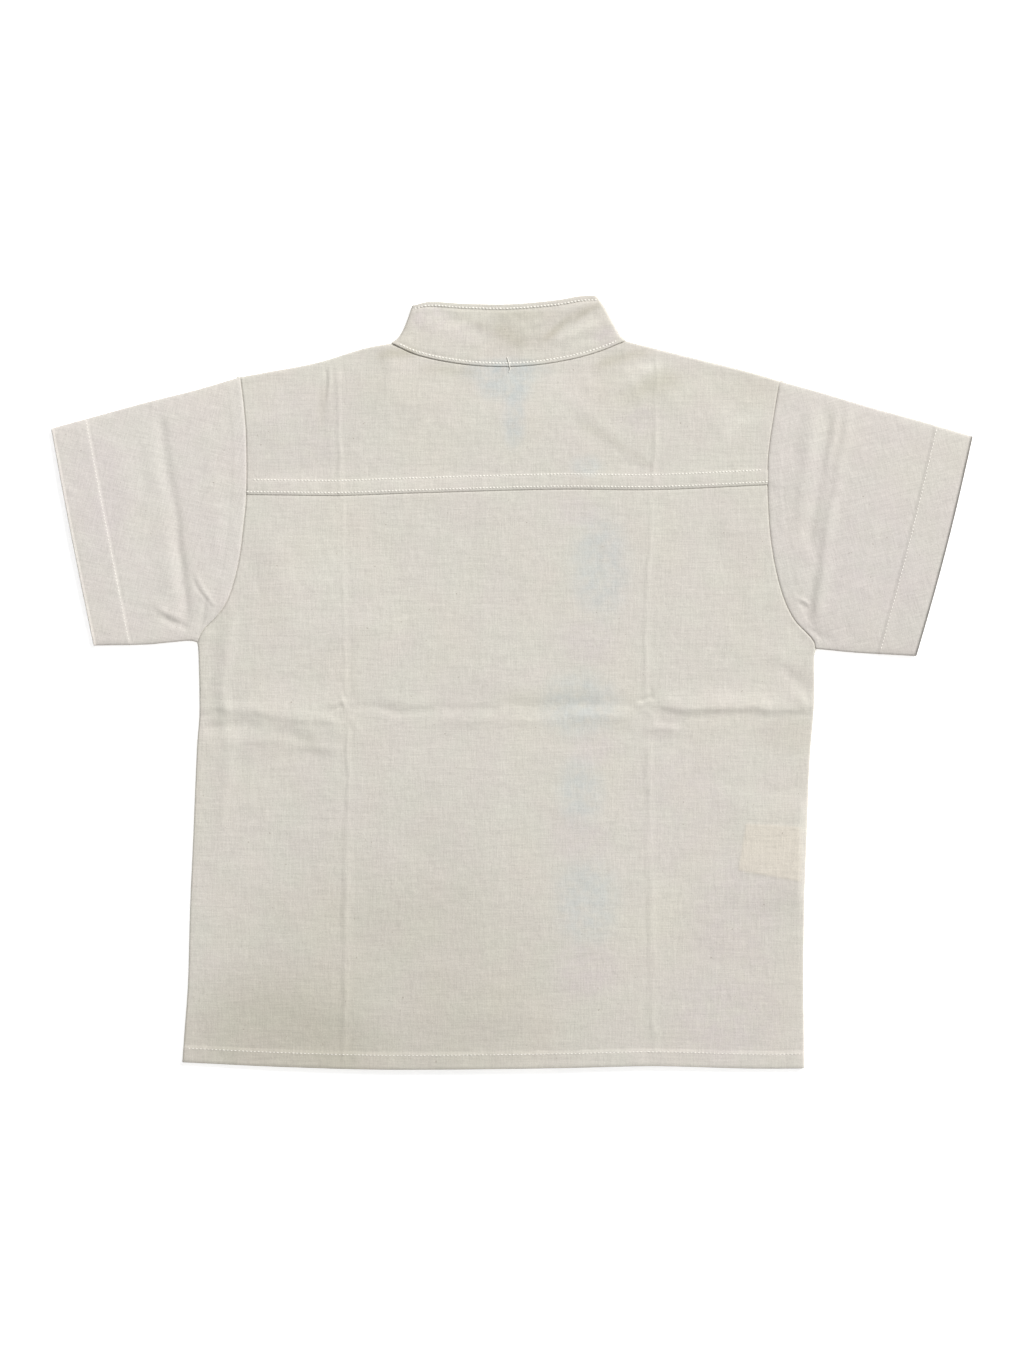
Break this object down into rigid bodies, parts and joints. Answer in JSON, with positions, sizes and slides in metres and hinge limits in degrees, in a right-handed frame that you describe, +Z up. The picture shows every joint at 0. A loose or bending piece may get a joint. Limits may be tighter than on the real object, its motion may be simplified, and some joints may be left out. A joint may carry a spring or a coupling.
{
  "type": "guayabera shirt laid flat",
  "caption": "Small child's short-sleeved cotton shirt with stand collar and back yoke, laid flat face down, front buttoned underneath.",
  "frame": {"origin": "middle of the shirt's outline at table level, the surface it lies on", "axes": "+Z up off the table, +Y toward the collar, +X toward the wearer's right; the shirt lies on its front"},
  "size_m": [0.4782, 0.4014, 0.0061],
  "materials": {
    "cotton": "matt unbleached plain-weave cotton",
    "cotton_front": "matt unbleached plain-weave cotton with a washed blue and lilac woven border",
    "cotton_sleeve": "matt unbleached plain-weave cotton",
    "cotton_collar": "matt unbleached plain-weave cotton, doubled",
    "label_cloth": "smooth cream label tape",
    "shell_button": "pale shell-like button, softly polished"
  },
  "bodies": {
    "root": {"back_yoke": "cotton", "back_panel": "cotton", "front_left": "cotton_front", "front_right": "cotton_front", "sleeve_left": "cotton_sleeve", "sleeve_right": "cotton_sleeve", "collar": "cotton_collar", "care_label": "label_cloth", "button_1": "shell_button", "button_2": "shell_button", "button_3": "shell_button", "button_4": "shell_button", "button_5": "shell_button"}
  },
  "joints": []
}
